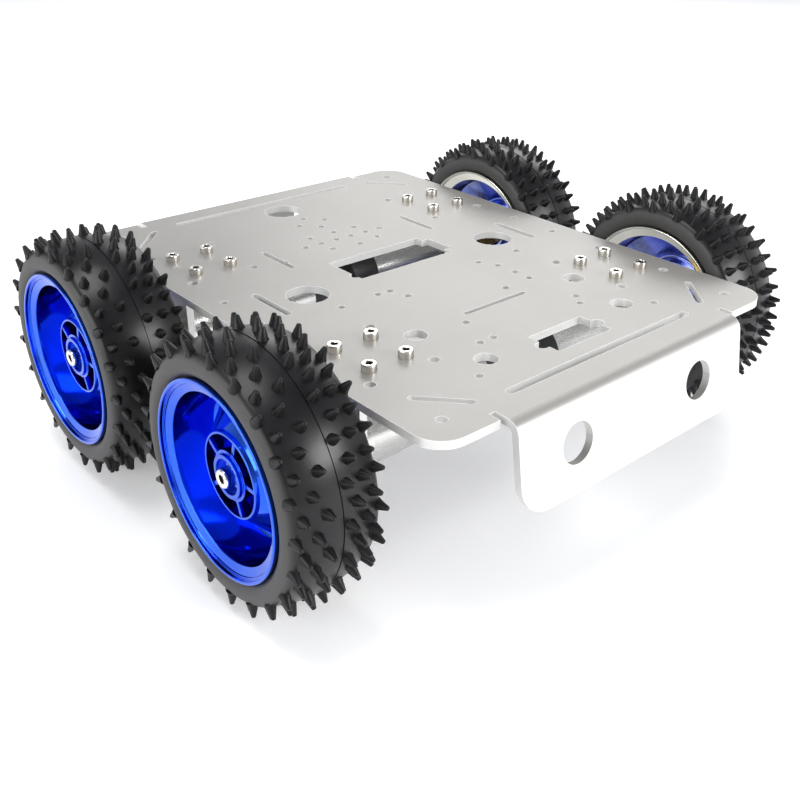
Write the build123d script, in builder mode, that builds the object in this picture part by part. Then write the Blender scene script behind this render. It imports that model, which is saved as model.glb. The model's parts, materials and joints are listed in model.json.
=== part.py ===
from build123d import *

import os
from math import asin, cos, degrees, radians, sin, sqrt

# Four wheel robot chassis: a folded aluminium plate that carries four gearmotors and studded wheels.
# Millimetres. +X is forward, +Y is left, +Z is up. The origin is on the ground, under the plate's middle.

os.makedirs("parts", exist_ok=True)

# Wheel size and place. Distances named *_D run outwards along Y from the chassis centre plane.
CROWN_R = 45.8
STUD_HEIGHT = 4.3
AXLE_Z = 49.95
AXLE_X = 56.1
WHEEL_D = 111.95
CORNERS = {
    "front_right": (1, -1),
    "front_left": (1, 1),
    "rear_right": (-1, -1),
    "rear_left": (-1, 1),
}

# Chassis plate
PLATE_LENGTH = 234.0
PLATE_WIDTH = 178.0
PLATE_T = 3.0
PLATE_TOP = AXLE_Z + 25.0
PLATE_BOTTOM = PLATE_TOP - PLATE_T
PLATE_CORNER_R = 11.0
FLANGE_LEAN = 8.0
FLANGE_BEND_X = 120.8
FLANGE_DROP = 33.0
FLANGE_HALF_WIDTH = 60.7
FLANGE_BEND_R = 3.5
FLANGE_CORNER_R = 12.0
FLANGE_START_X = 108.0
FLANGE_HOLE_R = 7.5
FLANGE_HOLE_Y = 33.6
FLANGE_HOLE_DOWN = 15.2
RELIEF_WIDTH = 2.4
RELIEF_DEPTH = 5.0

# Holes in the plate
M3_HOLE_R = 1.6
M4_HOLE_R = 2.0
GROUP_Y = 65.0
SCREW_SPACING = (19.1, 16.1)
OUTER_SPACING = (34.8, 28.0)
CORNER_HOLE = (105.0, 76.5)
BIG_HOLE_R = 8.75
BIG_HOLES = [(0.0, 51.0), (0.0, -51.0), (-91.5, 0.0)]
MEDIUM_HOLE_R = 4.4
MEDIUM_HOLES = [(84.5, 37.0), (84.5, -37.0), (55.0, 43.0), (55.0, -43.0)]
DIAMOND_R = 8.5
DIAMONDS = [(-43.8, 12.4), (-43.8, -12.4)]
SMALL_DIAMOND_R = 7.2
SMALL_DIAMOND = (-69.3, 1.0)
PAIRED_HOLES = [(17.8, 48.0), (92.0, 47.6), (-14.1, 79.8), (10.6, 79.8)]
SMALL_HOLES = [
    (-52.3, 0.6),
    (-33.0, 1.0),
    (-35.0, -38.0),
    (17.0, -29.6),
    (17.3, -23.7),
    (25.7, -21.5),
    (58.3, -21.4),
    (73.9, -22.9),
    (73.8, -29.4),
    (17.2, 25.1),
    (25.1, 29.1),
    (34.9, 29.3),
    (43.2, 28.9),
    (44.6, 13.9),
    (68.0, 29.2),
    (73.6, 25.1),
]
END_SLOT_X = 106.0
END_SLOT_LENGTH = 98.0
END_SLOT_WIDTH = 3.6
CORNER_SLOT = (96.0, 68.25)
CORNER_SLOT_LENGTH = 21.6
CORNER_SLOT_WIDTH = 2.8
CORNER_SLOT_ANGLE = 42.2
INNER_SLOT = (-38.75, 38.7)
INNER_SLOT_SIZE = (23.5, 2.4)
OUTER_SLOT = (-1.5, 67.0)
OUTER_SLOT_SIZE = (25.0, 3.0)
CROSS_SLOT = (52.5, 0.0)
CROSS_SLOT_SIZE = (33.0, 2.2)

# Servo cutouts: the middle one has a wide tab recess at its left end, the front one a notch at each end.
MIDDLE_CUTOUT = (-10.75, 0.0)
MIDDLE_CUTOUT_SIZE = (22.5, 49.0)
MIDDLE_TAB = (-10.5, 25.0)
MIDDLE_TAB_SIZE = (15.0, 6.0)
MIDDLE_NOTCH = (-4.0, -24.5)
MIDDLE_NOTCH_R = 2.2
FRONT_CUTOUT = (89.5, 0.9)
FRONT_CUTOUT_SIZE = (15.0, 28.6)
FRONT_NOTCH = (89.8, 0.75)
FRONT_NOTCH_SIZE = (35.5, 5.0)
CUTOUT_CORNER_R = 1.0

# Motor bracket: an angle whose base lies under the plate and whose face carries the gearbox
BRACKET_T = 3.0
BRACKET_HALF_WIDTH = 15.5
BRACKET_FACE_D = 82.0
BRACKET_BACK_D = BRACKET_FACE_D - BRACKET_T
BRACKET_BASE_END_D = 51.5
BRACKET_DROP = 17.5
BRACKET_CORNER_R = 6.0
BRACKET_HOLE_R = 5.6
BRACKET_BEND_R = 2.7

# Gearmotor
CASE_R = 15.6
CASE_WALL = 1.3
FACE_T = 2.5
FACE_BACK_D = BRACKET_BACK_D - FACE_T
GEARBOX_BACK_D = 60.8
BOSS_R = 5.2
BOSS_END_D = 83.5
BUSH_R = 4.0
BUSH_START_D = 74.0
CAN_R = 15.2
CAN_WALL = 1.2
CAN_BACK_D = 18.5
END_CAP_D = 4.0
END_CAP_WALL = 1.6
END_CAP_CHAMFER = 1.0
REAR_BUSH_END_D = 12.0
GEARBOX_SCREW_PCR = 11.5
SHAFT_R = 3.0
SHAFT_FLAT = 2.5
SHAFT_FLAT_LENGTH = 15.0
SHAFT_END_D = 101.0
RUNNING = 0.03

# Gear train: two equal stages that end on the motor's own axis
MODULE = 0.4
PINION_TEETH = 9
WHEEL_TEETH = 29
ADDENDUM = 0.26
DEDENDUM = 0.45
TOOTH_ROOT_W = 0.62
TOOTH_TAPER = 76.0
TOOTH_SINK = 0.15
GEAR_CENTRES = MODULE * (PINION_TEETH + WHEEL_TEETH) / 2
STAGE_1_D = (62.0, 65.0)
STAGE_2_D = (66.0, 69.0)
PINION_START_D = 61.6
PINION_END_D = 65.4
SHAFT_START_D = 65.9
CLUSTER_END_D = 69.6
CLUSTER_PIN_R = 0.75

# Rotor and magnets
ROTOR_R = 9.8
ROTOR_D = (24.0, 52.0)
COMMUTATOR_R = 3.6
COMMUTATOR_D = (19.5, 22.5)
ROTOR_SHAFT_R = 1.0
ROTOR_SHAFT_START_D = 8.0
ROTOR_SLOTS = 5
ROTOR_SLOT_SIZE = (7.0, 1.6)
MAGNET_INNER_R = 10.6
TERMINAL_SIZE = (2.4, 0.6)
TERMINAL_SPACING = 14.0
TERMINAL_OUT = 2.4
TERMINAL_LENGTH = 6.0

# Hub coupling, rim and tyre
HEX_FLATS = 12.0
HUB_D = (88.5, 118.5)
HUB_BORE_END_D = 103.0
HUB_CHAMFER = 0.5
HEX_CLEARANCE = 0.15
SET_SCREW_D = 93.0
SET_SCREW_R = 1.9
SET_SCREW_LENGTH = 3.2
SET_SOCKET_FLATS = 2.0
WHEEL_SCREW_R = 2.0
WHEEL_SCREW_TIP_D = 108.0
BOSS_FLOOR_D = 122.0
BOSS_TOP_D = 122.9
BOSS_RING_D = 124.0
RIM_LIP_D = 129.2
RIM_BACK_D = 94.7
RIM_SPOKES = 5
POCKET_R = (8.9, 14.2)
POCKET_FLOOR_D = 116.0
RIB_T = 1.6
RIB_PHASE = 2.0
POCKET_CORNER_R = 0.5
BEAD_R = 31.1
SHOULDER_R = 42.25
SHOULDER_HALF = 16.5
TREAD_T = 2.4
TREAD_STEPS = 21
STUD_BASE_R = 2.3
STUD_TIP_R = 0.9
STUD_SINK = 0.7
STUD_LEAN = 0.6
ODD_ROWS = [15.2, 8.6, -2.6, -9.0, -15.2]
EVEN_ROWS = [12.6, 5.2, -5.4, -12.6]

# Socket cap screws and nuts
M3_R = 1.5
M3_HEAD_R = 2.75
M3_HEAD_H = 3.0
M3_SOCKET_FLATS = 2.5
M3_SHANK = 10.0
M3_NUT_FLATS = 5.5
M3_NUT_H = 2.4
M4_HEAD_R = 3.5
M4_HEAD_H = 4.0
M4_SOCKET_FLATS = 3.0
SOCKET_DEPTH = 1.6
HEAD_CHAMFER = 0.3
PAN_HEAD_H = 1.8
PAN_HEAD_ROUND = 0.8
CROSS_RECESS = (3.2, 0.7)

# Where the bracket screws go through the plate
SCREW_PLACES = [
    (side_x * AXLE_X + x * SCREW_SPACING[0] / 2, side_y * GROUP_Y + y * SCREW_SPACING[1] / 2)
    for side_x, side_y in CORNERS.values()
    for x in (-1, 1)
    for y in (-1, 1)
]


def hex_r(flats):
    """Radius to the corners of a hexagon with this distance across its flats."""
    return flats / sqrt(3)


def axle_location(corner):
    """Where a wheel's own frame sits: z runs outwards along the axle from the centre plane, and y is up."""
    side_x, side_y = corner
    return Plane(origin=(side_x * AXLE_X, 0, AXLE_Z), x_dir=(-side_y, 0, 0), z_dir=(0, side_y, 0)).location


def turned(outline):
    """Adds the solid of revolution of an outline of (radius, distance outwards) points to the part."""
    with BuildSketch(Plane.XZ) as profile:
        with BuildLine():
            Polyline(*outline, close=True)
        make_face()
    revolve(profile.sketch, axis=Axis.Z)


def save(part, label):
    part.label = label
    export_step(part, f"parts/{label}.step")


def save_corners(part, label):
    """Writes one copy of a piece for each corner."""
    for corner_name, corner in CORNERS.items():
        save(axle_location(corner) * part, f"{label}_{corner_name}")


def save_four(part, label):
    """Writes the copies of a piece at all four corners as one node of separate solids."""
    save(Compound(children=[axle_location(corner) * part for corner in CORNERS.values()]), label)


def spur_sketch(distance, teeth, phase):
    """Spur gear outline about the origin, with short straight-sided teeth, which leave backlash."""
    pitch_r = MODULE * teeth / 2
    tooth_h = ADDENDUM + DEDENDUM + TOOTH_SINK
    with BuildSketch(Plane.XY.offset(distance)) as outline:
        Circle(pitch_r - DEDENDUM)
        with PolarLocations(pitch_r + ADDENDUM - tooth_h / 2, teeth, start_angle=phase):
            Trapezoid(TOOTH_ROOT_W, tooth_h, TOOTH_TAPER, rotation=-90)
    return outline.sketch


# Chassis plate
lean = radians(FLANGE_LEAN)
flange_end = (FLANGE_BEND_X + FLANGE_DROP * sin(lean), PLATE_TOP - PLATE_T / 2 - FLANGE_DROP * cos(lean))
flange_plane = Plane(
    origin=(FLANGE_BEND_X, 0, PLATE_TOP - PLATE_T / 2),
    x_dir=(0, 1, 0),
    z_dir=(cos(lean), 0, sin(lean)),
)

with BuildPart() as chassis_plate:
    with BuildSketch(Plane.XZ):
        with BuildLine():
            FilletPolyline(
                (FLANGE_START_X, PLATE_TOP - PLATE_T / 2),
                (FLANGE_BEND_X, PLATE_TOP - PLATE_T / 2),
                flange_end,
                radius=FLANGE_BEND_R,
            )
        trace(line_width=PLATE_T)
    extrude(amount=FLANGE_HALF_WIDTH, both=True)
    corners = chassis_plate.edges().filter_by(Axis(flange_plane.origin, flange_plane.z_dir)).group_by(Axis.Z)[0]
    fillet(corners, radius=FLANGE_CORNER_R)
    with BuildSketch(flange_plane):
        with Locations((FLANGE_HOLE_Y, -FLANGE_HOLE_DOWN), (-FLANGE_HOLE_Y, -FLANGE_HOLE_DOWN)):
            Circle(FLANGE_HOLE_R)
    extrude(amount=PLATE_T, both=True, mode=Mode.SUBTRACT)
    mirror(about=Plane.YZ)

    with BuildSketch(Plane.XY.offset(PLATE_BOTTOM)):
        RectangleRounded(PLATE_LENGTH, PLATE_WIDTH, PLATE_CORNER_R)
        for side in (1, -1):
            relief_y = side * (FLANGE_HALF_WIDTH + RELIEF_WIDTH / 2)
            with Locations((PLATE_LENGTH / 2, relief_y), (-PLATE_LENGTH / 2, relief_y)):
                Rectangle(2 * RELIEF_DEPTH, RELIEF_WIDTH, mode=Mode.SUBTRACT)
    extrude(amount=PLATE_T)

    with BuildSketch(Plane.XY.offset(PLATE_BOTTOM)):
        with Locations(*SCREW_PLACES):
            Circle(M3_HOLE_R)
        with GridLocations(2 * AXLE_X, 2 * GROUP_Y, 2, 2):
            with GridLocations(*OUTER_SPACING, 2, 2):
                Circle(M4_HOLE_R)
        with GridLocations(2 * CORNER_HOLE[0], 2 * CORNER_HOLE[1], 2, 2):
            Circle(M4_HOLE_R)
        with Locations(*BIG_HOLES):
            Circle(BIG_HOLE_R)
        with Locations(*MEDIUM_HOLES):
            Circle(MEDIUM_HOLE_R)
        with Locations(*DIAMONDS):
            Circle(M3_HOLE_R)
            with PolarLocations(DIAMOND_R, 4):
                Circle(M3_HOLE_R)
        with Locations(SMALL_DIAMOND):
            with PolarLocations(SMALL_DIAMOND_R, 4):
                Circle(M3_HOLE_R)
        for x, y in PAIRED_HOLES:
            with Locations((x, y), (x, -y)):
                Circle(M3_HOLE_R)
        with Locations(*SMALL_HOLES):
            Circle(M3_HOLE_R)
        for side_x, side_y in CORNERS.values():
            with Locations((side_x * CORNER_SLOT[0], side_y * CORNER_SLOT[1])):
                SlotOverall(CORNER_SLOT_LENGTH, CORNER_SLOT_WIDTH, rotation=-side_x * side_y * CORNER_SLOT_ANGLE)
        for side in (1, -1):
            with Locations((side * END_SLOT_X, 0)):
                SlotOverall(END_SLOT_LENGTH, END_SLOT_WIDTH, rotation=90)
            with Locations((INNER_SLOT[0], side * INNER_SLOT[1])):
                SlotOverall(*INNER_SLOT_SIZE)
            with Locations((OUTER_SLOT[0], side * OUTER_SLOT[1])):
                SlotOverall(*OUTER_SLOT_SIZE)
        with Locations(CROSS_SLOT):
            SlotOverall(*CROSS_SLOT_SIZE, rotation=90)
        with Locations(MIDDLE_CUTOUT):
            RectangleRounded(*MIDDLE_CUTOUT_SIZE, CUTOUT_CORNER_R)
        with Locations(MIDDLE_TAB):
            RectangleRounded(*MIDDLE_TAB_SIZE, CUTOUT_CORNER_R)
        with Locations(MIDDLE_NOTCH):
            Circle(MIDDLE_NOTCH_R)
        with Locations(FRONT_CUTOUT):
            RectangleRounded(*FRONT_CUTOUT_SIZE, CUTOUT_CORNER_R)
        with Locations(FRONT_NOTCH):
            SlotOverall(*FRONT_NOTCH_SIZE, rotation=90)
    extrude(amount=PLATE_T, mode=Mode.SUBTRACT)
save(chassis_plate.part, "chassis_plate")


# The pieces from here to the tyre are made in a wheel's own frame, and written once for each corner.

# Motor bracket
bracket_top = PLATE_BOTTOM - AXLE_Z
with BuildPart() as motor_bracket:
    with BuildSketch(Plane.XY.offset(BRACKET_BACK_D)) as face:
        with Locations((0, (bracket_top - BRACKET_DROP) / 2)):
            Rectangle(2 * BRACKET_HALF_WIDTH, bracket_top + BRACKET_DROP)
        fillet(face.vertices().group_by(Axis.Y)[0], radius=BRACKET_CORNER_R)
        Circle(BRACKET_HOLE_R, mode=Mode.SUBTRACT)
        with PolarLocations(GEARBOX_SCREW_PCR, 4, start_angle=45):
            Circle(M3_HOLE_R, mode=Mode.SUBTRACT)
    extrude(amount=BRACKET_T)
    with BuildSketch(Plane.XZ.offset(-bracket_top)):
        with Locations((0, (BRACKET_FACE_D + BRACKET_BASE_END_D) / 2)):
            Rectangle(2 * BRACKET_HALF_WIDTH, BRACKET_FACE_D - BRACKET_BASE_END_D)
        with Locations((0, GROUP_Y)):
            with GridLocations(*SCREW_SPACING, 2, 2):
                Circle(M3_HOLE_R, mode=Mode.SUBTRACT)
    extrude(amount=BRACKET_T)
    bend = motor_bracket.edges().filter_by(Axis.X).group_by(Axis.Y)[-1].sort_by(Axis.Z)[-1]
    fillet(bend, radius=BRACKET_BEND_R)
save_corners(motor_bracket.part, "motor_bracket")

# Gearbox face plate with the output boss
with BuildPart() as gearbox_face:
    turned(
        [
            (BUSH_R, FACE_BACK_D),
            (CASE_R, FACE_BACK_D),
            (CASE_R, BRACKET_BACK_D),
            (BOSS_R, BRACKET_BACK_D),
            (BOSS_R, BOSS_END_D),
            (BUSH_R, BOSS_END_D),
        ]
    )
    with BuildSketch(Plane.XY.offset(FACE_BACK_D)):
        with PolarLocations(GEARBOX_SCREW_PCR, 4, start_angle=45):
            Circle(M3_R)
        with Locations((GEAR_CENTRES, 0)):
            Circle(CLUSTER_PIN_R)
    extrude(amount=FACE_T, mode=Mode.SUBTRACT)
save_corners(gearbox_face.part, "gearbox_face")

# Gearbox case, between the face plate and the motor
with BuildPart() as gearbox_case:
    with BuildSketch(Plane.XY.offset(GEARBOX_BACK_D)):
        Circle(CASE_R)
        Circle(CASE_R - CASE_WALL, mode=Mode.SUBTRACT)
    extrude(amount=FACE_BACK_D - GEARBOX_BACK_D)
save_corners(gearbox_case.part, "gearbox_case")

# Bush pressed into the gearbox boss
with BuildPart() as output_bush:
    with BuildSketch(Plane.XY.offset(BUSH_START_D)):
        Circle(BUSH_R)
        Circle(SHAFT_R + RUNNING, mode=Mode.SUBTRACT)
    extrude(amount=BOSS_END_D - BUSH_START_D)
save_four(output_bush.part, "output_bushes")

# Output shaft with its gear wheel
with BuildPart() as output_shaft:
    with BuildSketch(Plane.XY.offset(SHAFT_START_D)):
        Circle(SHAFT_R)
    extrude(amount=SHAFT_END_D - SHAFT_START_D)
    with BuildSketch(Plane.XY.offset(SHAFT_END_D)):
        with Locations((SHAFT_FLAT + SHAFT_R, 0)):
            Rectangle(2 * SHAFT_R, 2 * SHAFT_R)
    extrude(amount=-SHAFT_FLAT_LENGTH, mode=Mode.SUBTRACT)
    gear = spur_sketch(STAGE_2_D[0], WHEEL_TEETH, 180 / WHEEL_TEETH)
    extrude(gear, amount=STAGE_2_D[1] - STAGE_2_D[0])
save_corners(output_shaft.part, "output_shaft")

# Cluster gear: a wheel driven by the rotor, and a pinion that drives the output gear
with BuildPart() as cluster_gear:
    wheel = spur_sketch(STAGE_1_D[0], WHEEL_TEETH, 0)
    extrude(wheel, amount=STAGE_1_D[1] - STAGE_1_D[0])
    pinion = spur_sketch(STAGE_1_D[1], PINION_TEETH, 180)
    extrude(pinion, amount=CLUSTER_END_D - STAGE_1_D[1])
    with BuildSketch(Plane.XY.offset(STAGE_1_D[0])):
        Circle(CLUSTER_PIN_R + RUNNING)
    extrude(amount=CLUSTER_END_D - STAGE_1_D[0], mode=Mode.SUBTRACT)
save_corners(Pos(GEAR_CENTRES, 0, 0) * cluster_gear.part, "cluster_gear")

# Pin that the cluster gear turns on
with BuildPart() as cluster_pin:
    with BuildSketch(Plane.XY.offset(GEARBOX_BACK_D)):
        with Locations((GEAR_CENTRES, 0)):
            Circle(CLUSTER_PIN_R)
    extrude(amount=BRACKET_BACK_D - GEARBOX_BACK_D)
save_corners(cluster_pin.part, "cluster_pin")

# Rotor: slotted core, commutator, shaft and pinion
with BuildPart() as rotor:
    with BuildSketch(Plane.XY.offset(ROTOR_D[0])):
        Circle(ROTOR_R)
        with PolarLocations(ROTOR_R, ROTOR_SLOTS):
            SlotOverall(*ROTOR_SLOT_SIZE, mode=Mode.SUBTRACT)
    extrude(amount=ROTOR_D[1] - ROTOR_D[0])
    with BuildSketch(Plane.XY.offset(COMMUTATOR_D[0])):
        Circle(COMMUTATOR_R)
    extrude(amount=COMMUTATOR_D[1] - COMMUTATOR_D[0])
    with BuildSketch(Plane.XY.offset(ROTOR_SHAFT_START_D)):
        Circle(ROTOR_SHAFT_R)
    extrude(amount=PINION_END_D - ROTOR_SHAFT_START_D)
    pinion = spur_sketch(PINION_START_D, PINION_TEETH, 0)
    extrude(pinion, amount=PINION_END_D - PINION_START_D)
save_corners(rotor.part, "rotor")

# Motor can
can_inner_r = CAN_R - CAN_WALL
can_front_d = GEARBOX_BACK_D - CAN_WALL
with BuildPart() as motor_can:
    turned(
        [
            (can_inner_r, CAN_BACK_D),
            (CAN_R, CAN_BACK_D),
            (CAN_R, GEARBOX_BACK_D),
            (ROTOR_SHAFT_R + RUNNING, GEARBOX_BACK_D),
            (ROTOR_SHAFT_R + RUNNING, can_front_d),
            (can_inner_r, can_front_d),
        ]
    )
save_corners(motor_can.part, "motor_can")

# Two magnets in the can, with gaps between them
with BuildPart() as magnet_pair:
    with BuildSketch(Plane.XY.offset(ROTOR_D[0])):
        Circle(can_inner_r)
        Circle(MAGNET_INNER_R, mode=Mode.SUBTRACT)
        Rectangle(MAGNET_INNER_R, 2 * CASE_R, mode=Mode.SUBTRACT)
    extrude(amount=ROTOR_D[1] - ROTOR_D[0])
save_four(magnet_pair.part, "motor_magnets")

# End cap with the rotor's rear bush
cap_floor_d = END_CAP_D + END_CAP_WALL
with BuildPart() as end_cap:
    turned(
        [
            (0, END_CAP_D),
            (CAN_R - END_CAP_CHAMFER, END_CAP_D),
            (CAN_R, END_CAP_D + END_CAP_CHAMFER),
            (CAN_R, CAN_BACK_D),
            (CAN_R - END_CAP_WALL, CAN_BACK_D),
            (CAN_R - END_CAP_WALL, cap_floor_d),
            (BUSH_R, cap_floor_d),
            (BUSH_R, REAR_BUSH_END_D),
            (ROTOR_SHAFT_R + RUNNING, REAR_BUSH_END_D),
            (ROTOR_SHAFT_R + RUNNING, cap_floor_d),
            (0, cap_floor_d),
        ]
    )
    with BuildSketch(Plane.XY.offset(END_CAP_D)):
        with GridLocations(TERMINAL_SPACING, 0, 2, 1):
            Rectangle(*TERMINAL_SIZE)
    extrude(amount=END_CAP_WALL, mode=Mode.SUBTRACT)
save_corners(end_cap.part, "end_cap")

# Two terminals through the end cap
with BuildPart() as terminal_pair:
    with BuildSketch(Plane.XY.offset(END_CAP_D - TERMINAL_OUT)):
        with GridLocations(TERMINAL_SPACING, 0, 2, 1):
            Rectangle(*TERMINAL_SIZE)
    extrude(amount=TERMINAL_LENGTH)
save_four(terminal_pair.part, "motor_terminals")

# Pan head screws that hold the gearbox to its bracket
with BuildPart() as gearbox_screw_set:
    with BuildSketch(Plane.XY.offset(BRACKET_FACE_D)):
        with PolarLocations(GEARBOX_SCREW_PCR, 4, start_angle=45):
            Circle(M3_HEAD_R)
    extrude(amount=PAN_HEAD_H)
    fillet(gearbox_screw_set.edges().group_by(Axis.Z)[-1], radius=PAN_HEAD_ROUND)
    with BuildSketch(Plane.XY.offset(BRACKET_FACE_D)):
        with PolarLocations(GEARBOX_SCREW_PCR, 4, start_angle=45):
            Circle(M3_R)
    extrude(amount=FACE_BACK_D - BRACKET_FACE_D)
    with BuildSketch(Plane.XY.offset(BRACKET_FACE_D + PAN_HEAD_H)):
        with PolarLocations(GEARBOX_SCREW_PCR, 4, start_angle=45):
            Rectangle(*CROSS_RECESS)
            Rectangle(*CROSS_RECESS, rotation=90)
    extrude(amount=-PAN_HEAD_H / 2, mode=Mode.SUBTRACT)
save_four(gearbox_screw_set.part, "gearbox_screws")

# Hub coupling: hexagon bar with a bore for the motor shaft and a thread for the wheel screw
set_screw_plane = Plane(origin=(0, 0, SET_SCREW_D), z_dir=(1, 0, 0))
with BuildPart() as hub_coupling:
    with BuildSketch(Plane.XY.offset(HUB_D[0])):
        RegularPolygon(hex_r(HEX_FLATS), 6, rotation=30)
    extrude(amount=HUB_D[1] - HUB_D[0])
    chamfer(hub_coupling.edges().filter_by(Plane.XY), length=HUB_CHAMFER)
    with BuildSketch(Plane.XY.offset(HUB_D[0])):
        Circle(SHAFT_R)
    extrude(amount=HUB_BORE_END_D - HUB_D[0], mode=Mode.SUBTRACT)
    with BuildSketch(Plane.XY.offset(HUB_BORE_END_D)):
        Circle(WHEEL_SCREW_R)
    extrude(amount=HUB_D[1] - HUB_BORE_END_D, mode=Mode.SUBTRACT)
    with BuildSketch(set_screw_plane):
        Circle(SET_SCREW_R)
    extrude(amount=HEX_FLATS, mode=Mode.SUBTRACT)
save_corners(hub_coupling.part, "hub_coupling")

# Wheel screw, and the hub's set screw on the shaft's flat
with BuildPart() as hub_screws:
    with BuildSketch(Plane.XY.offset(WHEEL_SCREW_TIP_D)):
        Circle(WHEEL_SCREW_R)
    extrude(amount=BOSS_FLOOR_D - WHEEL_SCREW_TIP_D)
    with BuildSketch(Plane.XY.offset(BOSS_FLOOR_D)):
        Circle(M4_HEAD_R)
    extrude(amount=M4_HEAD_H)
    chamfer(hub_screws.edges().group_by(Axis.Z)[-1], length=HEAD_CHAMFER)
    with BuildSketch(Plane.XY.offset(BOSS_FLOOR_D + M4_HEAD_H)):
        RegularPolygon(hex_r(M4_SOCKET_FLATS), 6)
    extrude(amount=-SOCKET_DEPTH, mode=Mode.SUBTRACT)
    with BuildSketch(set_screw_plane.offset(SHAFT_FLAT)):
        Circle(SET_SCREW_R)
        RegularPolygon(hex_r(SET_SOCKET_FLATS), 6, mode=Mode.SUBTRACT)
    extrude(amount=SET_SCREW_LENGTH)
save_corners(hub_screws.part, "hub_screws")

# Rim: stepped lip, deep barrel, cone, and a boss with pockets between its ribs
with BuildPart() as rim:
    turned(
        [
            (33.6, RIM_LIP_D),
            (34.7, RIM_LIP_D),
            (34.7, 127.0),
            (31.0, 126.0),
            (31.0, 98.2),
            (34.7, 97.0),
            (34.7, RIM_BACK_D),
            (33.8, RIM_BACK_D),
            (29.8, 97.5),
            (28.9, 106.0),
            (16.0, 118.0),
            (14.0, 114.0),
            (8.6, 114.0),
            (8.6, 108.0),
            (0, 108.0),
            (0, BOSS_FLOOR_D),
            (6.2, BOSS_FLOOR_D),
            (6.2, BOSS_RING_D),
            (7.7, BOSS_RING_D),
            (7.7, BOSS_TOP_D),
            (14.9, BOSS_TOP_D),
            (15.4, 121.6),
            (28.0, 109.4),
            (29.2, 111.0),
            (29.5, 127.0),
            (33.4, 127.6),
        ]
    )
    with BuildSketch(Plane.XY.offset(HUB_D[0])):
        RegularPolygon(hex_r(HEX_FLATS) + HEX_CLEARANCE, 6, rotation=30)
    extrude(amount=HUB_D[1] - HUB_D[0], mode=Mode.SUBTRACT)
    with BuildSketch(Plane.XY.offset(HUB_D[1])):
        Circle(WHEEL_SCREW_R + HEX_CLEARANCE)
    extrude(amount=BOSS_FLOOR_D - HUB_D[1], mode=Mode.SUBTRACT)
    with BuildSketch(Plane.XY.offset(POCKET_FLOOR_D)) as pockets:
        Circle(POCKET_R[1])
        Circle(POCKET_R[0], mode=Mode.SUBTRACT)
        with PolarLocations(sum(POCKET_R) / 2, RIM_SPOKES, start_angle=RIB_PHASE):
            Rectangle(POCKET_R[1], RIB_T, mode=Mode.SUBTRACT)
        fillet(pockets.vertices(), radius=POCKET_CORNER_R)
    extrude(amount=BOSS_TOP_D - POCKET_FLOOR_D, mode=Mode.SUBTRACT)
save_corners(rim.part, "rim")


# Tyre: hollow carcass with tapered studs in staggered rows
def crown_r(offset):
    """Tread radius at a distance from the tyre's middle."""
    return CROWN_R - (CROWN_R - SHOULDER_R) * (offset / SHOULDER_HALF) ** 2


def stud_location(offset, angle):
    """Foot of a stud, with z out of the tread and leaning a little towards the shoulder."""
    tilt = STUD_LEAN * degrees(asin(offset / crown_r(offset)))
    around = Location((0, 0, WHEEL_D), (0, 0, angle))
    return around * Location((crown_r(offset), 0, offset), (0, 90 - tilt, 0)) * Location((0, 0, -STUD_SINK))


with BuildPart() as stud:
    with BuildSketch():
        RegularPolygon(STUD_BASE_R, 6)
    with BuildSketch(Plane.XY.offset(STUD_HEIGHT + STUD_SINK)):
        RegularPolygon(STUD_TIP_R, 6)
    loft()

tread = [(crown_r(share * SHOULDER_HALF), share * SHOULDER_HALF) for share in (1 / 3, 2 / 3, 1)]
wall = [(39.0, 17.1), (36.0, 16.6), (34.9, 14.7), (BEAD_R, 13.6)]
inside = [(BEAD_R, 9.5), (34.0, 10.5), (36.5, 13.8), (39.5, 14.4), (CROWN_R - TREAD_T, 8.0)]
half_tyre = tread + wall + inside
with BuildPart() as tyre:
    turned(
        [(radius, WHEEL_D + offset) for radius, offset in half_tyre]
        + [(radius, WHEEL_D - offset) for radius, offset in reversed(half_tyre)]
    )
    tread_step = 360 / TREAD_STEPS
    for rows, shift in ((ODD_ROWS, 0), (EVEN_ROWS, tread_step / 2)):
        places = [stud_location(offset, turn * tread_step + shift) for offset in rows for turn in range(TREAD_STEPS)]
        with Locations(*places):
            add(stud.part)
save_corners(tyre.part, "tyre")


# Screws that hold the brackets, through the plate from above
with BuildPart() as bracket_screws:
    with BuildSketch(Plane.XY.offset(PLATE_TOP)):
        with Locations(*SCREW_PLACES):
            Circle(M3_HEAD_R)
    extrude(amount=M3_HEAD_H)
    chamfer(bracket_screws.edges().group_by(Axis.Z)[-1], length=HEAD_CHAMFER)
    with BuildSketch(Plane.XY.offset(PLATE_TOP)):
        with Locations(*SCREW_PLACES):
            Circle(M3_R)
    extrude(amount=-M3_SHANK)
    with BuildSketch(Plane.XY.offset(PLATE_TOP + M3_HEAD_H)):
        with Locations(*SCREW_PLACES):
            RegularPolygon(hex_r(M3_SOCKET_FLATS), 6)
    extrude(amount=-SOCKET_DEPTH, mode=Mode.SUBTRACT)
save(bracket_screws.part, "bracket_screws")

# Nuts under the brackets
with BuildPart() as bracket_nuts:
    with BuildSketch(Plane.XY.offset(PLATE_BOTTOM - BRACKET_T)):
        with Locations(*SCREW_PLACES):
            RegularPolygon(hex_r(M3_NUT_FLATS), 6)
            Circle(M3_R, mode=Mode.SUBTRACT)
    extrude(amount=-M3_NUT_H)
save(bracket_nuts.part, "bracket_nuts")
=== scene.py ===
import json
from math import atan2, cos, pi, radians, sin, tan

import bmesh
import bpy
from mathutils import Matrix, Vector


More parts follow.
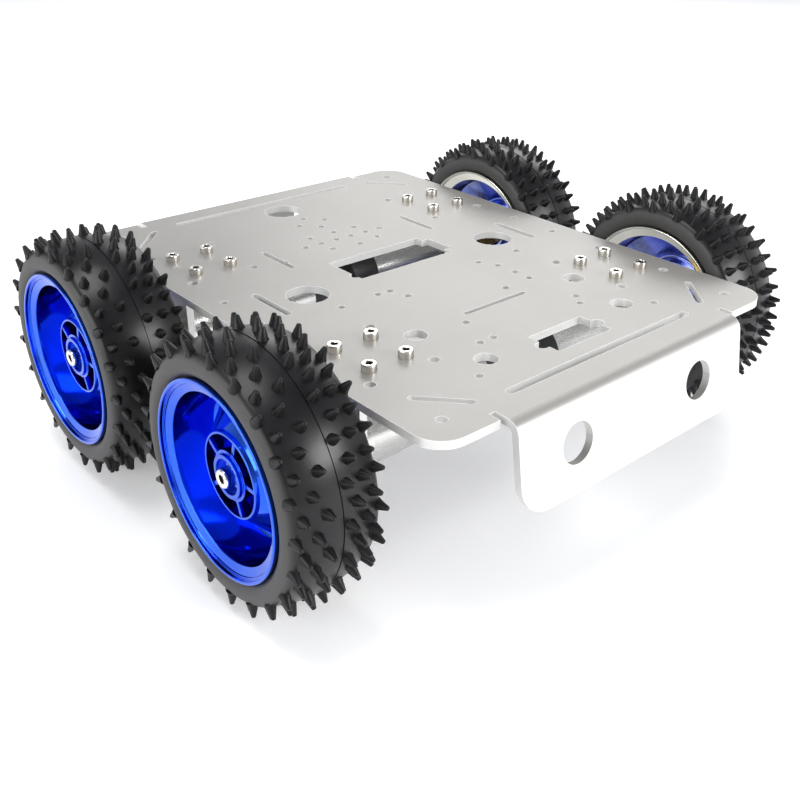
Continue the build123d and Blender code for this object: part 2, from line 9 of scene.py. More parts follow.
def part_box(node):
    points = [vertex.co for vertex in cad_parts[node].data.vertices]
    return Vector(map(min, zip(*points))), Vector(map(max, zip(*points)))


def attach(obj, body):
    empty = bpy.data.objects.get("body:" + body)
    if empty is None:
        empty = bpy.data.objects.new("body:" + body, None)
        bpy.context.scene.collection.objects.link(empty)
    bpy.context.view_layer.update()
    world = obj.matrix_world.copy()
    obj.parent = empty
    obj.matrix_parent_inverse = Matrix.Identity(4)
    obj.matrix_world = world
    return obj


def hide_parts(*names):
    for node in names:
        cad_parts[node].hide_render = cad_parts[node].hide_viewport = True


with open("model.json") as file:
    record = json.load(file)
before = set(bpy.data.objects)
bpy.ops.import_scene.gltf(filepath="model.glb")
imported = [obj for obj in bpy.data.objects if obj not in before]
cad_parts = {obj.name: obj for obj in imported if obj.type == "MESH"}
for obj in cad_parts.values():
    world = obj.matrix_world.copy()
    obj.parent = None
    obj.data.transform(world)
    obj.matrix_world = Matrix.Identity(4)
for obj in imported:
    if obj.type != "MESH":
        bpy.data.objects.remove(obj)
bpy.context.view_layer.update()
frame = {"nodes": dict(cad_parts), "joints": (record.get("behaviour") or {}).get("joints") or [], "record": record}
scene = bpy.context.scene
MM = 0.001

# ---------------------------------------------------------------- places, read from the frame
CORNERS = {"front_right": (1, -1), "front_left": (1, 1), "rear_right": (-1, -1), "rear_left": (-1, 1)}
PLATE_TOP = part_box("chassis_plate")[1].z
JOINT_POS = {joint["name"]: Vector(joint["pos_m"]) for joint in frame["joints"]}


def wheel_matrix(corner):
    """A wheel's own frame in millimetres: z runs outwards along the axle from the centre plane, and y is up."""
    side_y = CORNERS[corner][1]
    axle = JOINT_POS[f"wheel_spin_{corner}"]
    turn = Matrix(((-side_y, 0, 0), (0, 0, side_y), (0, 1, 0))).to_4x4()
    return Matrix.Translation((axle.x, 0, axle.z)) @ turn @ Matrix.Scale(MM, 4)


# Wheel sizes in millimetres. Distances named *_D run outwards along the axle from the centre plane.
WHEEL_D = (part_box("tyre_front_left")[0].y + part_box("tyre_front_left")[1].y) / 2 / MM
CROWN_R = 45.8
SHOULDER_R = 42.25
SHOULDER_HALF = 16.5
TREAD_STEPS = 21
ODD_ROWS = (15.2, 8.6, -2.6, -9.0, -15.2)
EVEN_ROWS = (12.6, 5.2, -5.4, -12.6)
TYRE_SEGMENTS = 168
STUD_HEIGHT = 4.3
STUD_LEAN = 0.6
STUD_SIDES = 12
STUD_OUTLINE = [(2.25, 0.0), (1.95, 0.75), (1.7, 1.3), (0.8, 4.65), (0.65, 4.88), (0.35, 5.0)]
SEAM_HALF = 0.28
SEAM_DEPTH = 0.3
BOSS_TOP_D = 122.9
POCKET_FLOOR_D = 116.0
POCKET_R = (8.9, 14.2)
RIB_COUNT = 5
RIB_PHASE = radians(2)
RIB_HALF = 0.8
SCREW_FLOOR_D = 122.0
RIM_SEGMENTS = 144


# ---------------------------------------------------------------- mesh helpers
def finish_mesh(bm, name, matrix=None, sharp=35, slots=()):
    """Turns a bmesh into an object, with smooth faces that break at sharp edges."""
    bmesh.ops.remove_doubles(bm, verts=bm.verts, dist=1e-6)
    bmesh.ops.recalc_face_normals(bm, faces=bm.faces)
    mesh = bpy.data.meshes.new(name)
    bm.to_mesh(mesh)
    bm.free()
    if matrix is not None:
        mesh.transform(matrix)
    mesh.polygons.foreach_set("use_smooth", [True] * len(mesh.polygons))
    mesh.set_sharp_from_angle(angle=radians(sharp))
    for material in slots:
        mesh.materials.append(material)
    obj = bpy.data.objects.new(name, mesh)
    scene.collection.objects.link(obj)
    return obj


def rounded(points, steps=5):
    """Points of (radius, height, fillet) as a polyline of (radius, height) with its corners rounded."""
    flat = []
    count = len(points)
    for i, (x, y, fillet) in enumerate(points):
        here = Vector((x, y))
        if not fillet or i in (0, count - 1):
            flat.append((x, y))
            continue
        before = (Vector(points[i - 1][:2]) - here).normalized()
        after = (Vector(points[i + 1][:2]) - here).normalized()
        half_turn = before.angle(after) / 2
        reach = fillet / tan(half_turn)
        start, end = here + before * reach, here + after * reach
        for k in range(steps + 1):
            t = k / steps
            flat.append(tuple(start * (1 - t) ** 2 + here * 2 * t * (1 - t) + end * t**2))
    return flat


def smooth_curve(points, steps=4):
    """Catmull-Rom curve through (radius, height) points."""
    ends = [points[0], *points, points[-1]]

    def blend(p, q, r, s, t):
        square, cube = 2 * p - 5 * q + 4 * r - s, 3 * q - p - 3 * r + s
        return 0.5 * (2 * q + (r - p) * t + square * t**2 + cube * t**3)

    curve = []
    for four in zip(ends, ends[1:], ends[2:], ends[3:]):
        for k in range(steps):
            curve.append(tuple(blend(*axis, k / steps) for axis in zip(*four)))
    return [*curve, points[-1]]


def lathe(bm, profile, segments, closed=False, material_of=None, radius_of=None):
    """Turns a profile of (radius, height) round the z axis. A radius of zero becomes one vertex."""
    rings = []
    for i, (radius, height) in enumerate(profile):
        if radius < 1e-6:
            rings.append([bm.verts.new((0, 0, height))])
            continue
        ring = []
        for k in range(segments):
            angle = 2 * pi * k / segments
            r = radius_of(i, radius, angle) if radius_of else radius
            ring.append(bm.verts.new((r * cos(angle), r * sin(angle), height)))
        rings.append(ring)
    pairs = list(zip(rings, rings[1:]))
    if closed:
        pairs.append((rings[-1], rings[0]))
    for i, (low, high) in enumerate(pairs):
        for k in range(segments):
            after = (k + 1) % segments
            corners = [low[k % len(low)], low[after % len(low)], high[after % len(high)], high[k % len(high)]]
            face = bm.faces.new(list(dict.fromkeys(corners)))
            if material_of:
                face.material_index = material_of(i)
    return rings


def rounded_box(bm, size, matrix, bevel):
    """A box with bevelled edges, as a separate closed shell in the mesh."""
    made = bmesh.ops.create_cube(bm, size=1)["verts"]
    bmesh.ops.scale(bm, vec=size, verts=made)
    edges = list({edge for vert in made for edge in vert.link_edges})
    bevelled = bmesh.ops.bevel(bm, geom=edges, offset=bevel, segments=2, profile=0.5, affect="EDGES")
    verts = list({vert for face in bevelled["faces"] for vert in face.verts} | {v for v in made if v.is_valid})
    bmesh.ops.transform(bm, matrix=matrix, verts=verts)


# ---------------------------------------------------------------- material helpers
class Nodes:
    """Short names for building a node material."""

    def __init__(self, name):
        self.material = bpy.data.materials.new(name)
        self.material.use_nodes = True
        self.tree = self.material.node_tree
        self.shader = self.tree.nodes["Principled BSDF"]
        self.place = self.tree.nodes.new("ShaderNodeTexCoord").outputs["Object"]

    def set(self, **values):
        for name, value in values.items():
            self.shader.inputs[name.replace("_", " ")].default_value = value

    def link(self, output, name):
        self.tree.links.new(output, self.shader.inputs[name])

    def noise(self, scale, detail=3.0, roughness=0.5, stretch=None):
        node = self.tree.nodes.new("ShaderNodeTexNoise")
        node.inputs["Scale"].default_value = scale
        node.inputs["Detail"].default_value = detail
        node.inputs["Roughness"].default_value = roughness
        source = self.place
        if stretch:
            mapping = self.tree.nodes.new("ShaderNodeMapping")
            mapping.inputs["Scale"].default_value = stretch
            self.tree.links.new(self.place, mapping.inputs["Vector"])
            source = mapping.outputs["Vector"]
        self.tree.links.new(source, node.inputs["Vector"])
        return node.outputs["Fac"]

    def spread(self, value, low, high, from_low=0.3, from_high=0.7):
        node = self.tree.nodes.new("ShaderNodeMapRange")
        self.tree.links.new(value, node.inputs["Value"])
        for name, number in zip(("From Min", "From Max", "To Min", "To Max"), (from_low, from_high, low, high)):
            node.inputs[name].default_value = number
        return node.outputs["Result"]

    def mix(self, factor, low, high):
        node = self.tree.nodes.new("ShaderNodeMix")
        node.data_type = "RGBA"
        self.tree.links.new(factor, node.inputs["Factor"])
        for colour, name in ((low, "A"), (high, "B")):
            socket = [s for s in node.inputs if s.name == name and s.type == "RGBA"][0]
            if isinstance(colour, bpy.types.NodeSocket):
                self.tree.links.new(colour, socket)
            else:
                socket.default_value = (*colour, 1)
        return [s for s in node.outputs if s.type == "RGBA"][0]

    def bump(self, height, strength, distance):
        node = self.tree.nodes.new("ShaderNodeBump")
        node.inputs["Strength"].default_value = strength
        node.inputs["Distance"].default_value = distance
        self.tree.links.new(height, node.inputs["Height"])
        self.link(node.outputs["Normal"], "Normal")

    def edges(self, radius):
        """A mask that is 1 along the mesh's edges, where a bevelled normal differs from the flat one."""
        bevel = self.tree.nodes.new("ShaderNodeBevel")
        bevel.samples = 6
        bevel.inputs["Radius"].default_value = radius
        flat = self.tree.nodes.new("ShaderNodeNewGeometry").outputs["Normal"]
        dot = self.tree.nodes.new("ShaderNodeVectorMath")
        dot.operation = "DOT_PRODUCT"
        self.tree.links.new(bevel.outputs["Normal"], dot.inputs[0])
        self.tree.links.new(flat, dot.inputs[1])
        return self.spread(dot.outputs["Value"], 1.0, 0.0, 0.85, 0.995)


def satin_metal(name, colour, edge_highlight, roughness, grain, stretch=None):
    """Finished metal: fine grain, cloudy roughness, and edges painted bright as a painted highlight."""
    nodes = Nodes(name)
    clouds = nodes.noise(35, 4)
    fine = nodes.noise(grain, 3, 0.6, stretch)
    dark = tuple(c * 0.93 for c in colour)
    base = nodes.mix(nodes.spread(clouds, 0, 1), dark, colour)
    # Painted highlight: the edges are painted in a lighter colour, as if they caught the light.
    nodes.link(nodes.mix(nodes.edges(0.0003), base, edge_highlight), "Base Color")
    nodes.link(nodes.spread(fine, roughness - 0.05, roughness + 0.07), "Roughness")
    nodes.bump(fine, 0.02 if stretch else 0.06, 0.00004)
    nodes.set(Metallic=0.9)
    return nodes.material


def plate_material():
    """Clear anodised sheet with a blasted grain: satin on top, with painted light that makes the upright faces
    (cut walls, the bent-down flange) paler, and a painted highlight along the edges.
    """
    nodes = Nodes("plate_anodised")
    clouds = nodes.noise(18, 5, 0.6)
    grain = nodes.noise(2600, 2, 0.7)
    base = nodes.mix(nodes.spread(clouds, 0, 1), (0.335, 0.324, 0.307), (0.365, 0.353, 0.336))
    base = nodes.mix(nodes.spread(grain, 0, 0.35), base, (0.43, 0.418, 0.400))
    # Painted light: faces that stand upright, the flange and the cut walls, are painted paler than the top.
    parts = nodes.tree.nodes.new("ShaderNodeSeparateXYZ")
    normal = nodes.tree.nodes.new("ShaderNodeNewGeometry").outputs["Normal"]
    nodes.tree.links.new(normal, parts.inputs["Vector"])
    painted_side_light = nodes.spread(parts.outputs["Z"], 1, 0, 0.25, 0.75)
    base = nodes.mix(painted_side_light, base, (0.68, 0.675, 0.66))
    # Painted highlight: the plate's edges are painted near-white.
    nodes.link(nodes.mix(nodes.edges(0.00035), base, (0.96, 0.955, 0.94)), "Base Color")
    nodes.link(nodes.spread(grain, 0.40, 0.56), "Roughness")
    nodes.bump(grain, 0.18, 0.00004)
    nodes.set(Metallic=0.55)
    return nodes.material


def rubber_material(name, colour, roughness):
    """Black moulded rubber with cloudy gloss and a fine grain."""
    nodes = Nodes(name)
    clouds = nodes.noise(60, 5, 0.65)
    fine = nodes.noise(900, 3, 0.6)
    light = tuple(c * 1.7 for c in colour)
    nodes.link(nodes.mix(nodes.spread(clouds, 0, 1), colour, light), "Base Color")
    nodes.link(nodes.spread(clouds, roughness - 0.06, roughness + 0.10), "Roughness")
    nodes.bump(fine, 0.25, 0.00006)
    nodes.set(**{"Specular IOR Level": 0.3})
    return nodes.material


def carcass_material():
    """Tyre rubber: smooth mid-grey sidewalls that turn into a black, glossy tread past the shoulder.

    The blend runs over the radius, as a share of the outer radius with its studs.
    """
    wall_end, tread_start = 0.815, 0.865
    nodes = Nodes("tyre_carcass_rubber")
    spot = nodes.tree.nodes.new("ShaderNodeTexCoord").outputs["Generated"]
    flat = nodes.tree.nodes.new("ShaderNodeVectorMath")
    flat.operation = "MULTIPLY_ADD"
    flat.inputs[1].default_value = (2, 0, 2)
    flat.inputs[2].default_value = (-1, 0, -1)
    nodes.tree.links.new(spot, flat.inputs[0])
    radius = nodes.tree.nodes.new("ShaderNodeVectorMath")
    radius.operation = "LENGTH"
    nodes.tree.links.new(flat.outputs["Vector"], radius.inputs[0])
    clouds = nodes.noise(60, 5, 0.65)
    tread = nodes.spread(radius.outputs["Value"], 0, 1, wall_end, tread_start)
    wall_grey = nodes.mix(nodes.spread(clouds, 0, 1), (0.044, 0.043, 0.042), (0.054, 0.052, 0.051))
    tread_black = nodes.mix(nodes.spread(clouds, 0, 1), (0.003, 0.003, 0.0035), (0.007, 0.007, 0.008))
    nodes.link(nodes.mix(tread, wall_grey, tread_black), "Base Color")
    gloss = nodes.spread(clouds, 0.0, 0.10)
    rough = nodes.tree.nodes.new("ShaderNodeMath")
    nodes.tree.links.new(gloss, rough.inputs[0])
    nodes.tree.links.new(nodes.spread(tread, 0.48, 0.27, 0, 1), rough.inputs[1])
    nodes.link(rough.outputs["Value"], "Roughness")
    nodes.bump(nodes.noise(900, 3, 0.6), 0.25, 0.00006)
    nodes.set(**{"Specular IOR Level": 0.34})
    return nodes.material


def rim_material():
    """Vacuum-metallised blue: a mirror under a clear blue lacquer, with faint flow marks."""
    nodes = Nodes("rim_blue_metallised")
    flow = nodes.noise(70, 4, 0.55)
    fine = nodes.noise(700, 2)
    nodes.link(nodes.mix(nodes.spread(flow, 0, 1), (0.009, 0.088, 0.68), (0.015, 0.115, 0.76)), "Base Color")
    nodes.link(nodes.spread(fine, 0.07, 0.12), "Roughness")
    nodes.bump(flow, 0.05, 0.0002)
    nodes.set(Metallic=1.0)
    nodes.set(**{"Coat Weight": 0.35, "Coat Roughness": 0.04})
    return nodes.material


def rim_back_material(name, low, high):
    """The thinly metallised back of the rim: a mirror whose tint drifts over the surface."""
    nodes = Nodes(name)
    flow = nodes.noise(55, 3)
    nodes.link(nodes.mix(nodes.spread(flow, 0, 1), low, high), "Base Color")
    nodes.link(nodes.spread(nodes.noise(600, 2), 0.10, 0.18), "Roughness")
    nodes.set(Metallic=1.0)
    return nodes.material


def nickel_material():
    """Bright nickel plate of the screws."""
    nodes = Nodes("screw_bright_nickel")
    tone = nodes.noise(900, 3)
    nodes.link(nodes.mix(nodes.spread(tone, 0, 1), (0.80, 0.76, 0.69), (0.93, 0.90, 0.84)), "Base Color")
    nodes.link(nodes.spread(nodes.noise(2500, 2), 0.10, 0.20), "Roughness")
    nodes.set(Metallic=1.0)
    return nodes.material


def plastic_material(name, colour, roughness):
    """Moulded plastic or ferrite: a dark body with cloudy tone and a fine grain."""
    nodes = Nodes(name)
    light = tuple(c * 1.5 for c in colour)
    nodes.link(nodes.mix(nodes.spread(nodes.noise(200, 4), 0, 1), colour, light), "Base Color")
    nodes.link(nodes.spread(nodes.noise(700, 2), roughness - 0.05, roughness + 0.08), "Roughness")
    nodes.bump(nodes.noise(1800, 2), 0.2, 0.00003)
    return nodes.material


# Near-white colour for the painted highlight along the metal parts' edges.
EDGE_HIGHLIGHT = (0.93, 0.92, 0.90)
ALONG_Y = (1.0, 0.04, 1.0)
LAMINATED = (1, 30, 1)
MATERIALS = {
    "plate_aluminium": plate_material(),
    "bracket_aluminium": satin_metal("bracket_aluminium", (0.70, 0.70, 0.69), EDGE_HIGHLIGHT, 0.36, 1500),
    "gearbox_steel": satin_metal("gearbox_nickel_plate", (0.62, 0.62, 0.60), EDGE_HIGHLIGHT, 0.26, 2200, ALONG_Y),
    "motor_can_steel": satin_metal("motor_can_nickel_plate", (0.60, 0.60, 0.59), EDGE_HIGHLIGHT, 0.24, 2200, ALONG_Y),
    "shaft_steel": satin_metal("shaft_ground_steel", (0.56, 0.56, 0.56), EDGE_HIGHLIGHT, 0.22, 2000),
    "gear_steel": satin_metal("gear_oiled_steel", (0.36, 0.35, 0.33), (0.6, 0.6, 0.58), 0.30, 2000),
    "rotor_steel": satin_metal("rotor_laminated_steel", (0.30, 0.29, 0.28), (0.5,) * 3, 0.40, 1200, LAMINATED),
    "end_cap_plastic": plastic_material("end_cap_black_plastic", (0.012, 0.012, 0.013), 0.42),
    "hub_brass": satin_metal("hub_turned_brass", (0.76, 0.55, 0.20), (0.95, 0.80, 0.48), 0.24, 1600),
    "bush_bronze": satin_metal("bush_sintered_bronze", (0.45, 0.30, 0.13), (0.6, 0.45, 0.22), 0.45, 3000),
    "terminal_brass": satin_metal("terminal_tinned_brass", (0.72, 0.60, 0.36), EDGE_HIGHLIGHT, 0.30, 2500),
    "magnet_ferrite": plastic_material("magnet_ferrite", (0.02, 0.02, 0.022), 0.5),
    "screw_nickel": nickel_material(),
    "rim_blue": rim_material(),
    "tyre_rubber": carcass_material(),
}
RIM_BACK = rim_back_material("rim_back_silver", (0.62, 0.62, 0.55), (0.72, 0.71, 0.66))
RIM_DISC_BACK = rim_back_material("rim_back_violet", (0.10, 0.16, 0.62), (0.42, 0.46, 0.78))
STUD_RUBBER = rubber_material("tyre_stud_rubber", (0.0025, 0.0025, 0.003), 0.42)
# Painted shade: the inside of each screw's socket is painted dark, as if it lay in the recess's shadow.
SOCKET_PAINTED_SHADE = satin_metal("screw_socket_painted_shade", (0.16, 0.145, 0.125), (0.5, 0.47, 0.42), 0.40, 2500)

for row in frame["record"]["subparts"]:
    node = frame["nodes"][row["node"]]
    node.data.materials.clear()
    node.data.materials.append(MATERIALS[row["material_slot"]])


# ---------------------------------------------------------------- tyre
def tread_r(offset):
    """Tread radius at a distance from the tyre's middle."""
    return CROWN_R - (CROWN_R - SHOULDER_R) * (offset / SHOULDER_HALF) ** 2


# Tyre section as (radius, distance from the tyre's middle)
SIDEWALL = [(43.0, 15.1), (42.1, 16.1), (40.6, 16.8), (38.2, 17.05), (36.4, 16.6), (35.2, 15.6), (34.9, 14.75)]
BEAD_AND_INSIDE = [(31.1, 13.6), (31.1, 9.5), (34.0, 10.5), (36.5, 13.6), (40.5, 13.4), (42.8, 8.0)]


def tyre_profile():
    """Closed section of the tyre as (radius, distance along the axle)."""
    half = [(tread_r(0) - SEAM_DEPTH, 0), (tread_r(SEAM_HALF) - SEAM_DEPTH, SEAM_HALF * 0.6)]
    half += [(tread_r(offset), offset) for offset in (SEAM_HALF, 0.7, 2.5, 4.5, 6.5, 8.5, 10.5, 12.5, 14.0)]
    side = half[1:] + smooth_curve(SIDEWALL) + BEAD_AND_INSIDE
    upper = [(r, WHEEL_D + offset) for r, offset in side]
    lower = [(r, WHEEL_D - offset) for r, offset in reversed(side)]
    return [(half[0][0], WHEEL_D), *upper, *lower]


def add_stud(bm, matrix):
    """One stud: a flared foot, a straight taper and a rounded tip."""
    angles = [2 * pi * k / STUD_SIDES for k in range(STUD_SIDES)]
    rings = [
        [bm.verts.new(matrix @ Vector((r * cos(angle), r * sin(angle), z))) for angle in angles]
        for r, z in STUD_OUTLINE
    ]
    for low, high in zip(rings, rings[1:]):
        for k in range(STUD_SIDES):
            after = (k + 1) % STUD_SIDES
            bm.faces.new((low[k], low[after], high[after], high[k])).material_index = 1
    for ring in (rings[0], rings[-1]):
        bm.faces.new(ring).material_index = 1


def make_tyre(corner):
    """The carcass with its seam, and rows of studs that lean outwards towards the shoulders."""
    bm = bmesh.new()
    lathe(bm, tyre_profile(), TYRE_SEGMENTS, closed=True)
    step = 2 * pi / TREAD_STEPS
    sink = STUD_OUTLINE[-1][1] - STUD_HEIGHT
    for rows, shift in ((ODD_ROWS, 0), (EVEN_ROWS, step / 2)):
        for offset in rows:
            tilt = STUD_LEAN * atan2(offset, tread_r(offset))
            foot = Matrix.Translation((tread_r(offset), 0, offset)) @ Matrix.Rotation(pi / 2 - tilt, 4, "Y")
            foot = foot @ Matrix.Translation((0, 0, -sink))
            for turn in range(TREAD_STEPS):
                around = Matrix.Rotation(turn * step + shift, 4, "Z")
                add_stud(bm, Matrix.Translation((0, 0, WHEEL_D)) @ around @ foot)
    slots = (MATERIALS["tyre_rubber"], STUD_RUBBER)
    tyre = finish_mesh(bm, f"tyre_{corner}_studded", wheel_matrix(corner), 50, slots)
    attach(tyre, f"wheel_{corner}")
    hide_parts(f"tyre_{corner}")


# ---------------------------------------------------------------- rim
RIM_FRONT = [
    (0, SCREW_FLOOR_D, 0),
    (6.2, SCREW_FLOOR_D, 0),
    (6.2, 124.0, 0.25),
    (7.7, 124.0, 0.25),
    (7.9, BOSS_TOP_D - 0.1, 0.2),
    (POCKET_R[0], BOSS_TOP_D - 0.1, 0.2),
    (POCKET_R[0] + 0.2, POCKET_FLOOR_D, 0.5),
    (POCKET_R[1] - 0.2, POCKET_FLOOR_D, 0.5),
    (POCKET_R[1], BOSS_TOP_D, 0.2),
    (15.0, BOSS_TOP_D, 0.4),
    (15.6, 121.5, 0.5),
    (28.0, 109.4, 1.0),
    (29.2, 111.0, 1.0),
    (29.5, 126.5, 0.5),
    (32.5, 127.3, 0.3),
    (32.6, 127.9, 0.2),
    (33.4, 127.9, 0.2),
    (33.5, 129.2, 0.35),
    (34.7, 129.2, 0.45),
]
RIM_BARREL = [(34.7, 127.0, 0.3), (31.0, 126.0, 0.4), (31.0, 98.2, 0)]
RIM_REAR_LIP = [
    (34.7, 97.0, 0),
    (34.7, 94.7, 0.35),
    (33.8, 94.7, 0.35),
    (33.6, 96.3, 0.4),
    (29.8, 97.8, 0.8),
    (28.9, 105.0, 0),
]
RIM_REAR_DISC = [
    (28.9, 105.6, 0),
    (28.4, 106.6, 0.5),
    (16.0, 118.0, 1.2),
    (14.0, 114.0, 0.6),
    (8.6, 114.0, 0.4),
    (8.6, 108.0, 0.4),
    (7.15, 108.0, 0.2),
    (7.15, 118.6, 0),
    (0, 118.6, 0),
]


def make_rim(corner):
    """The turned rim with its ribs. Its material zones: front and barrel, rear lip, rear of the disc."""
    bm = bmesh.new()
    front = rounded(RIM_FRONT + RIM_BARREL)
    lip, disc = rounded(RIM_REAR_LIP), rounded(RIM_REAR_DISC)
    zones = [0] * len(front) + [1] * len(lip) + [2] * len(disc)
    lathe(bm, front + lip + disc, RIM_SEGMENTS, material_of=lambda i: zones[i])
    middle_r = sum(POCKET_R) / 2
    depth = BOSS_TOP_D - 0.25 - POCKET_FLOOR_D
    for k in range(RIB_COUNT):
        turn = Matrix.Rotation(RIB_PHASE + k * 2 * pi / RIB_COUNT, 4, "Z")
        place = Matrix.Translation((middle_r, 0, POCKET_FLOOR_D + depth / 2 - 0.2))
        rounded_box(bm, (POCKET_R[1] - POCKET_R[0] + 0.9, 2 * RIB_HALF, depth + 0.4), turn @ place, 0.22)
    slots = (MATERIALS["rim_blue"], RIM_BACK, RIM_DISC_BACK)
    rim = finish_mesh(bm, f"rim_{corner}_turned", wheel_matrix(corner), 40, slots)
    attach(rim, f"wheel_{corner}")
    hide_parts(f"rim_{corner}")


# ---------------------------------------------------------------- screws
M3_SCREW = {
    "head_r": 2.75, "head_h": 3.0, "flats": 2.5, "socket_depth": 1.6, "shank_r": 1.5, "shank_length": 10.0,
}
M4_SCREW = {
    "head_r": 3.5, "head_h": 4.0, "flats": 3.0, "socket_depth": 1.9, "shank_r": 2.0, "shank_length": 14.0,
}
HEAD_SPAN = 6.2 * MM  # points nearer than this belong to the same head
GOLDEN_ANGLE = 2.39996  # turns the screws' sockets, so that no two line up
SET_SCREW = [(0, 0), (1.5, 0), (1.9, 0.4), (1.9, 2.9), (1.6, 3.2), (1.2, 3.2), (1.0, 3.1), (1.0, 1.4), (0, 1.2)]
SET_SCREW_PLACE = (2.5, 0, 93.0)


def hexagon_r(flats, angle):
    """Distance from a hexagon's centre to its edge at this angle."""
    sixth = pi / 3
    return flats / 2 / cos((angle % sixth) - sixth / 2)


def add_cap_screw(bm, matrix, head_r, head_h, flats, socket_depth, shank_r, shank_length):
    """Socket cap screw that stands on z = 0: knurled head, chamfers, hexagon socket and shank."""
    segments = 60
    ridges = 30
    knurl = 0.035 * head_r
    knurled, socket = (5, 6), (11, 12)
    outline = [
        (0, -shank_length),
        (shank_r * 0.8, -shank_length),
        (shank_r, -shank_length + shank_r * 0.3),
        (shank_r, 0),
        (head_r * 0.95, 0),
        (head_r, head_h * 0.07),
        (head_r, head_h * 0.78),
        (head_r * 0.985, head_h * 0.84),
        (head_r * 0.93, head_h * 0.95),
        (head_r * 0.86, head_h),
        (flats / 2 * 1.22, head_h),
        (flats / 2, head_h - flats * 0.06),
        (flats / 2, head_h - socket_depth),
        (0, head_h - socket_depth - flats * 0.12),
    ]

    def radius_of(i, radius, angle):
        if i in knurled:
            return radius - knurl * (0.5 + 0.5 * cos(angle * ridges))
        if i in socket:
            return hexagon_r(flats, angle)
        return radius

    # The socket's faces take the second slot, where the callers put the socket's painted shade.
    rings = lathe(bm, outline, segments, material_of=lambda i: int(i >= socket[0]), radius_of=radius_of)
    bmesh.ops.transform(bm, matrix=matrix, verts=[v for ring in rings for v in ring])


def screw_heads():
    """The middle of each bracket screw's head on the plate, from the CAD mesh's separate solids."""
    mesh = frame["nodes"]["bracket_screws"].data
    tops = [v.co for v in mesh.vertices if v.co.z > PLATE_TOP + 1.0 * MM]
    groups = []
    for point in tops:
        for group in groups:
            if (group[0].xy - point.xy).length < HEAD_SPAN:
                group.append(point)
                break
        else:
            groups.append([point])
    middles = []
    for group in groups:
        xs, ys = [point.x for point in group], [point.y for point in group]
        middles.append(Vector(((min(xs) + max(xs)) / 2, (min(ys) + max(ys)) / 2, PLATE_TOP)))
    return middles


def make_bracket_screws():
    """The sixteen cap screws that hold the brackets, as one piece."""
    bm = bmesh.new()
    for n, head in enumerate(screw_heads()):
        turn = Matrix.Rotation(n * GOLDEN_ANGLE, 4, "Z")
        place = Matrix.Translation(head) @ turn @ Matrix.Scale(MM, 4)
        add_cap_screw(bm, place, **M3_SCREW)
    screws = finish_mesh(bm, "bracket_cap_screws", None, 30, (MATERIALS["screw_nickel"], SOCKET_PAINTED_SHADE))
    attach(screws, "chassis")
    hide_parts("bracket_screws")


def make_wheel_screw(corner):
    """The wheel's cap screw, and the set screw in the side of the hub coupling."""
    bm = bmesh.new()
    place = Matrix.Translation((0, 0, SCREW_FLOOR_D)) @ Matrix.Rotation(0.4, 4, "Z")
    add_cap_screw(bm, place, **M4_SCREW)
    turn = Matrix.Translation(SET_SCREW_PLACE) @ Matrix.Rotation(pi / 2, 4, "Y")
    socket, flats, segments = (6, 7), 2.0, 36

    def radius_of(i, radius, angle):
        return hexagon_r(flats, angle) if i in socket else radius

    rings = lathe(bm, SET_SCREW, segments, material_of=lambda i: int(i >= socket[0]), radius_of=radius_of)
    bmesh.ops.transform(bm, matrix=turn, verts=[v for ring in rings for v in ring])
    slots = (MATERIALS["screw_nickel"], SOCKET_PAINTED_SHADE)
    screw = finish_mesh(bm, f"hub_screws_{corner}_socketed", wheel_matrix(corner), 30, slots)
    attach(screw, f"wheel_{corner}")
    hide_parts(f"hub_screws_{corner}")


for corner in CORNERS:
    make_tyre(corner)
    make_rim(corner)
    make_wheel_screw(corner)
make_bracket_screws()


# ---------------------------------------------------------------- floor, light and camera
ROOM_DIRECTION = (0.66, -0.61, 0.44)
ROOM_EDGE = (0.70, 0.98)
ROOM_STRENGTH = 0.50
CAMERA_PLACE = (0.29464, -0.25456, PLATE_TOP + 0.15115)
CAMERA_TURN = (-42.61, 26.13, 1.08)
CAMERA_LENS = 44.45
CAMERA_SHIFT = (-0.0426, -0.0629)


def make_floor():
    """A wide white floor that glows a little, so that it fades into the surround."""
    bm = bmesh.new()
    bmesh.ops.create_grid(bm, x_segments=1, y_segments=1, size=6)
    floor = finish_mesh(bm, "floor")
    nodes = Nodes("floor_white")
    clouds = nodes.spread(nodes.noise(2.5, 2), 0, 1)
    nodes.link(nodes.mix(clouds, (0.88, 0.885, 0.90), (0.92, 0.92, 0.93)), "Base Color")
    nodes.set(**{"Roughness": 0.45, "Emission Color": (1, 1, 1, 1), "Emission Strength": 0.22})
    floor.data.materials.append(nodes.material)


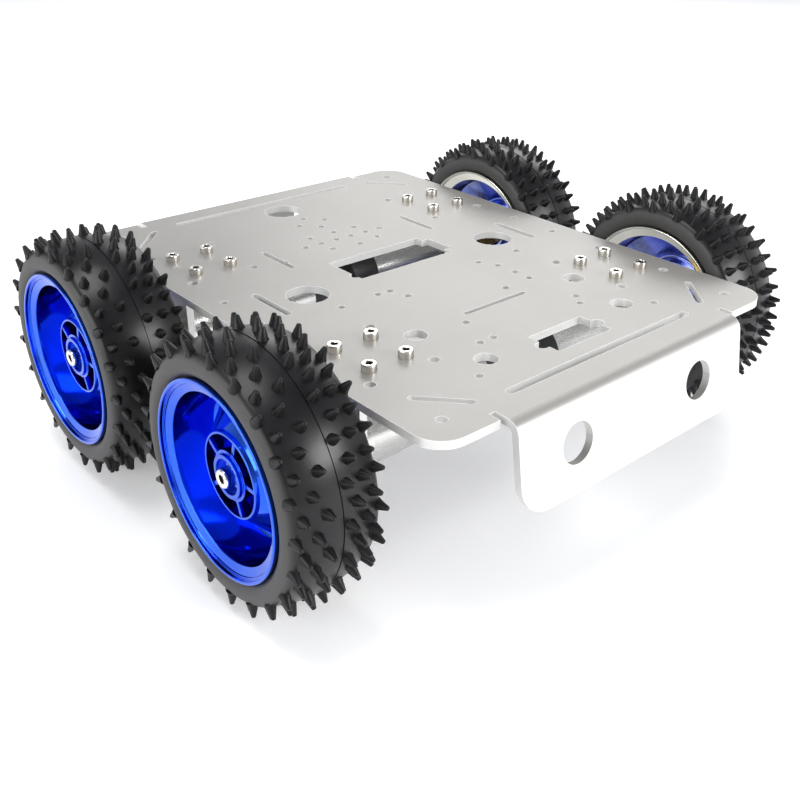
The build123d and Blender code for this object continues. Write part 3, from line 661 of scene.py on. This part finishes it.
def make_world():
    """A pale surround, brightest at the horizon, and dimmer overhead and on the camera's side."""
    world = bpy.data.worlds.new("studio")
    scene.world = world
    world.use_nodes = True
    tree = world.node_tree
    direction = tree.nodes.new("ShaderNodeTexCoord").outputs["Generated"]
    parts = tree.nodes.new("ShaderNodeSeparateXYZ")
    tree.links.new(direction, parts.inputs["Vector"])
    ramp = tree.nodes.new("ShaderNodeValToRGB")
    tree.links.new(parts.outputs["Z"], ramp.inputs["Fac"])
    first, last = ramp.color_ramp.elements
    first.position, first.color = 0.0, (1.0, 1.0, 1.0, 1)
    last.position, last.color = 0.70, (0.36, 0.37, 0.39, 1)
    middle = ramp.color_ramp.elements.new(0.30)
    middle.color = (0.72, 0.73, 0.75, 1)
    room = tree.nodes.new("ShaderNodeVectorMath")
    room.operation = "DOT_PRODUCT"
    room.inputs[1].default_value = ROOM_DIRECTION
    tree.links.new(direction, room.inputs[0])
    dim = tree.nodes.new("ShaderNodeMapRange")
    dim.interpolation_type = "SMOOTHSTEP"
    for name, number in zip(("From Min", "From Max", "To Min", "To Max"), (*ROOM_EDGE, 1.0, ROOM_STRENGTH)):
        dim.inputs[name].default_value = number
    tree.links.new(room.outputs["Value"], dim.inputs["Value"])
    tree.links.new(ramp.outputs["Color"], tree.nodes["Background"].inputs["Color"])
    tree.links.new(dim.outputs["Result"], tree.nodes["Background"].inputs["Strength"])


def area_light(name, place, target, size, power):
    """A white rectangular light that faces a target."""
    data = bpy.data.lights.new(name, "AREA")
    data.shape = "RECTANGLE"
    data.size, data.size_y = size
    data.energy = power
    light = bpy.data.objects.new(name, data)
    light.location = place
    light.rotation_euler = (Vector(target) - Vector(place)).to_track_quat("-Z", "Y").to_euler()
    scene.collection.objects.link(light)


def make_camera():
    """The camera stands at the front right, above the plate, and looks back along the chassis."""
    azimuth, elevation, roll = (radians(angle) for angle in CAMERA_TURN)
    back = Vector((cos(elevation) * cos(azimuth), cos(elevation) * sin(azimuth), sin(elevation)))
    right = (-back).cross(Vector((0, 0, 1))).normalized()
    up = right.cross(-back)
    x_axis = right * cos(roll) + up * sin(roll)
    y_axis = up * cos(roll) - right * sin(roll)
    data = bpy.data.cameras.new("camera")
    data.sensor_width = 36
    data.lens = CAMERA_LENS
    data.shift_x, data.shift_y = CAMERA_SHIFT
    data.clip_start, data.clip_end = 0.01, 50
    camera = bpy.data.objects.new("camera", data)
    turn = Matrix((x_axis, y_axis, back)).transposed().to_4x4()
    camera.matrix_world = Matrix.Translation(CAMERA_PLACE) @ turn
    scene.collection.objects.link(camera)
    scene.camera = camera


make_floor()
make_world()
area_light("overhead", place=(-0.15, -0.25, 1.7), target=(0, 0, 0.05), size=(0.9, 0.6), power=12)
area_light("front", place=(1.45, 0.65, 0.70), target=(0, 0, 0.05), size=(0.9, 0.6), power=22)
area_light("back", place=(-0.8, 1.2, 0.9), target=(0, 0, 0.05), size=(1.4, 0.6), power=9)
area_light("side", place=(-0.1, -1.6, 0.62), target=(0, 0, 0.1), size=(1.9, 0.7), power=20)
make_camera()
scene.view_settings.view_transform = "Standard"
